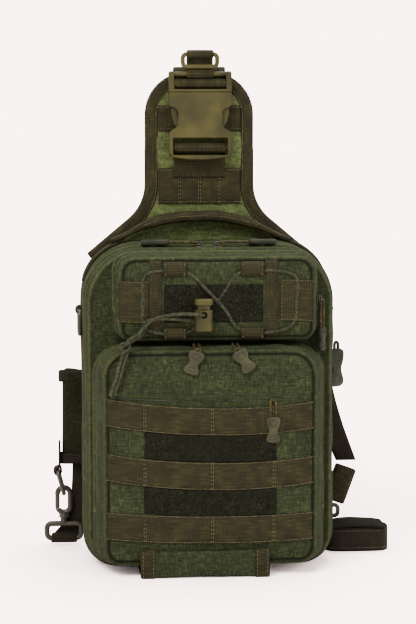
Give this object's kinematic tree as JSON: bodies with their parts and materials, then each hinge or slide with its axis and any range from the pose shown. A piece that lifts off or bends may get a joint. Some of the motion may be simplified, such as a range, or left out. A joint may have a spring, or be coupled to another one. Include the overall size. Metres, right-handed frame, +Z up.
{
  "type": "sling bag",
  "caption": "Soft sling bag with two full-height compartments, two zipped front pockets, webbing rows, elastic cord, a buckled yoke and a padded strap.",
  "frame": {"origin": "on the ground, under the bottom gusset at the middle of the partition between the two compartments", "axes": "+Z up, the bag's front with its pockets towards -Y, +X to the right seen from the front"},
  "size_m": [0.334, 0.1712, 0.4843],
  "materials": {
    "green_fabric": "washed woven canvas",
    "brown_webbing": "ribbed nylon webbing",
    "loop_fabric": "napped loop fabric",
    "elastic_cord": "braided elastic cord",
    "buckle_plastic": "moulded acetal",
    "pull_rubber": "moulded rubber",
    "zip_tape": "coil zip on woven tape",
    "hook_plastic": "moulded acetal"
  },
  "bodies": {
    "back_shell": {"back_panel": "green_fabric", "back_pads": "green_fabric", "yoke_pad": "green_fabric", "yoke_binding": "brown_webbing", "yoke_webbing": "brown_webbing", "buckle_female": "buckle_plastic", "main_rear_gusset": "green_fabric", "zip_tape_back": "zip_tape", "side_tabs": "brown_webbing", "shoulder_strap_pad": "green_fabric", "shoulder_strap_webbing": "brown_webbing", "strap_tail": "brown_webbing", "webbing_keeper": "brown_webbing", "floor_webbing": "brown_webbing", "keeper_clip": "hook_plastic", "hook_base": "hook_plastic", "hook_ring": "hook_plastic"},
    "middle_shell": {"partition_panel": "green_fabric", "middle_gusset": "green_fabric", "zip_tapes_middle": "zip_tape"},
    "front_shell": {"front_tray": "green_fabric", "pocket_gussets": "green_fabric", "lower_pocket_base": "green_fabric", "zip_tapes_front": "zip_tape", "base_webbing": "brown_webbing", "bungee_tail": "elastic_cord"},
    "bottom_strap": {"bottom_strap": "brown_webbing"},
    "lower_flap": {"lower_pocket_front": "green_fabric", "zip_tape_lower": "zip_tape", "slip_pocket_panel": "green_fabric", "molle_rows": "brown_webbing", "loop_fields": "loop_fabric"},
    "upper_flap": {"upper_pocket_front": "green_fabric", "zip_tape_upper": "zip_tape", "face_trim": "brown_webbing", "bungee_loops": "brown_webbing", "bungee_cord": "elastic_cord", "cord_lock_barrel": "hook_plastic"},
    "cord_lock_button": {"cord_lock_button": "hook_plastic"},
    "grab_handle": {"grab_handle": "brown_webbing"},
    "buckle_male": {"buckle_male_frame": "buckle_plastic", "male_webbing": "brown_webbing"},
    "prong_left": {"buckle_prong_left": "buckle_plastic"},
    "prong_right": {"buckle_prong_right": "buckle_plastic"},
    "top_dring": {"top_dring": "hook_plastic"},
    "side_dring_left": {"side_dring_left": "hook_plastic"},
    "side_dring_right": {"side_dring_right": "hook_plastic"},
    "snap_hook": {"snap_hook": "hook_plastic"},
    "hook_gate": {"hook_gate": "hook_plastic"},
    "top_slider_left": {"top_slider_left": "pull_rubber"},
    "top_slider_right": {"top_slider_right": "pull_rubber"},
    "lower_slider_left": {"lower_slider_left": "pull_rubber"},
    "lower_slider_right": {"lower_slider_right": "pull_rubber"},
    "lower_pull_left": {"lower_pull_left": "pull_rubber"},
    "lower_pull_right": {"lower_pull_right": "pull_rubber"},
    "slip_slider": {"slip_slider": "pull_rubber"},
    "slip_pull": {"slip_pull": "pull_rubber"},
    "upper_slider": {"upper_slider": "pull_rubber"},
    "main_slider": {"main_slider": "pull_rubber"},
    "main_pull": {"main_pull": "pull_rubber"}
  },
  "joints": [
    {"name": "main_opening", "type": "hinge", "parent": "back_shell", "child": "middle_shell", "pos_m": [0, 0.01978, 0], "axis": [1, 0, 0], "range_deg": [0, 35]},
    {"name": "middle_opening", "type": "hinge", "parent": "middle_shell", "child": "front_shell", "pos_m": [0, -0.018, 0], "axis": [1, 0, 0], "range_deg": [0, 35]},
    {"name": "lower_pocket_opening", "type": "hinge", "parent": "front_shell", "child": "lower_flap", "pos_m": [0, -0.08, 0.06], "axis": [1, 0, 0], "range_deg": [0, 80], "deforming": ["bungee_tail"]},
    {"name": "upper_pocket_opening", "type": "hinge", "parent": "front_shell", "child": "upper_flap", "pos_m": [0, -0.064, 0.219], "axis": [1, 0, 0], "range_deg": [0, 40]},
    {"name": "bottom_strap_fold", "type": "hinge", "parent": "front_shell", "child": "bottom_strap", "pos_m": [0, -0.0902, 0], "axis": [1, 0, 0], "range_deg": [0, 80]},
    {"name": "cord_lock_press", "type": "slide", "parent": "upper_flap", "child": "cord_lock_button", "axis": [0, 0, -1], "range_m": [0, 0.003], "stiffness_N_per_m": 200},
    {"name": "handle_swing", "type": "hinge", "parent": "back_shell", "child": "grab_handle", "pos_m": [0, 0.027, 0.3005], "axis": [1, 0, 0], "range_deg": [0, 60]},
    {"name": "buckle_release", "type": "slide", "parent": "back_shell", "child": "buckle_male", "axis": [0, 0, 1], "range_m": [0, 0.04]},
    {"name": "prong_squeeze_right", "type": "hinge", "parent": "buckle_male", "child": "prong_right", "pos_m": [0.0155, 0.0368, 0.4422], "axis": [0, 1, 0], "range_deg": [0, 8], "stiffness_Nm_per_rad": 0.05},
    {"name": "prong_squeeze_left", "type": "hinge", "parent": "buckle_male", "child": "prong_left", "pos_m": [-0.0235, 0.0368, 0.4422], "axis": [0, -1, 0], "range_deg": [0, 8], "stiffness_Nm_per_rad": 0.05},
    {"name": "top_dring_swing", "type": "hinge", "parent": "buckle_male", "child": "top_dring", "pos_m": [-0.004, 0.0368, 0.4801], "axis": [-1, 0, 0], "range_deg": [0, 90]},
    {"name": "side_dring_right_swing", "type": "hinge", "parent": "back_shell", "child": "side_dring_right", "pos_m": [0.1202, 0.035, 0.236], "axis": [0, -1, 0], "range_deg": [0, 80]},
    {"name": "side_dring_left_swing", "type": "hinge", "parent": "back_shell", "child": "side_dring_left", "pos_m": [-0.1202, 0.035, 0.236], "axis": [0, 1, 0], "range_deg": [0, 80]},
    {"name": "hook_swivel", "type": "hinge", "parent": "back_shell", "child": "snap_hook", "pos_m": [-0.136, 0.066, 0.03], "axis": [0, 0, 1], "range_deg": [-20, 20]},
    {"name": "hook_gate_press", "type": "hinge", "parent": "snap_hook", "child": "hook_gate", "pos_m": [-0.14235, 0.066, 0.037], "axis": [0, 1, 0], "range_deg": [0, 20], "stiffness_Nm_per_rad": 0.01},
    {"name": "top_slider_left_travel", "type": "slide", "parent": "middle_shell", "child": "top_slider_left", "axis": [-1, 0, 0], "range_m": [0, 0.05]},
    {"name": "top_slider_right_travel", "type": "slide", "parent": "middle_shell", "child": "top_slider_right", "axis": [1, 0, 0], "range_m": [0, 0.05]},
    {"name": "lower_slider_left_travel", "type": "slide", "parent": "lower_flap", "child": "lower_slider_left", "axis": [-1, 0, 0], "range_m": [0, 0.045]},
    {"name": "lower_slider_right_travel", "type": "slide", "parent": "lower_flap", "child": "lower_slider_right", "axis": [1, 0, 0], "range_m": [0, 0.05]},
    {"name": "lower_pull_left_swing", "type": "hinge", "parent": "lower_slider_left", "child": "lower_pull_left", "pos_m": [-0.015, -0.0846, 0.2111], "axis": [-1, 0, 0], "range_deg": [0, 70]},
    {"name": "lower_pull_right_swing", "type": "hinge", "parent": "lower_slider_right", "child": "lower_pull_right", "pos_m": [0.021, -0.0846, 0.2111], "axis": [-1, 0, 0], "range_deg": [0, 70]},
    {"name": "upper_slider_travel", "type": "slide", "parent": "front_shell", "child": "upper_slider", "axis": [0, 0, 1], "range_m": [0, 0.022]},
    {"name": "main_slider_travel", "type": "slide", "parent": "back_shell", "child": "main_slider", "axis": [0, 0, -1], "range_m": [0, 0.11]},
    {"name": "main_pull_swing", "type": "hinge", "parent": "main_slider", "child": "main_pull", "pos_m": [0.1232, 0.01978, 0.2031], "axis": [0, -1, 0], "range_deg": [0, 70]},
    {"name": "slip_slider_travel", "type": "slide", "parent": "lower_flap", "child": "slip_slider", "axis": [-1, 0, 0], "range_m": [0, 0.11]},
    {"name": "slip_pull_swing", "type": "hinge", "parent": "slip_slider", "child": "slip_pull", "pos_m": [0.054, -0.087, 0.164], "axis": [-1, 0, 0], "range_deg": [0, 60]}
  ],
  "couplings": [
    {"joint": "prong_squeeze_left", "follows": "prong_squeeze_right", "ratio": 1}
  ]
}
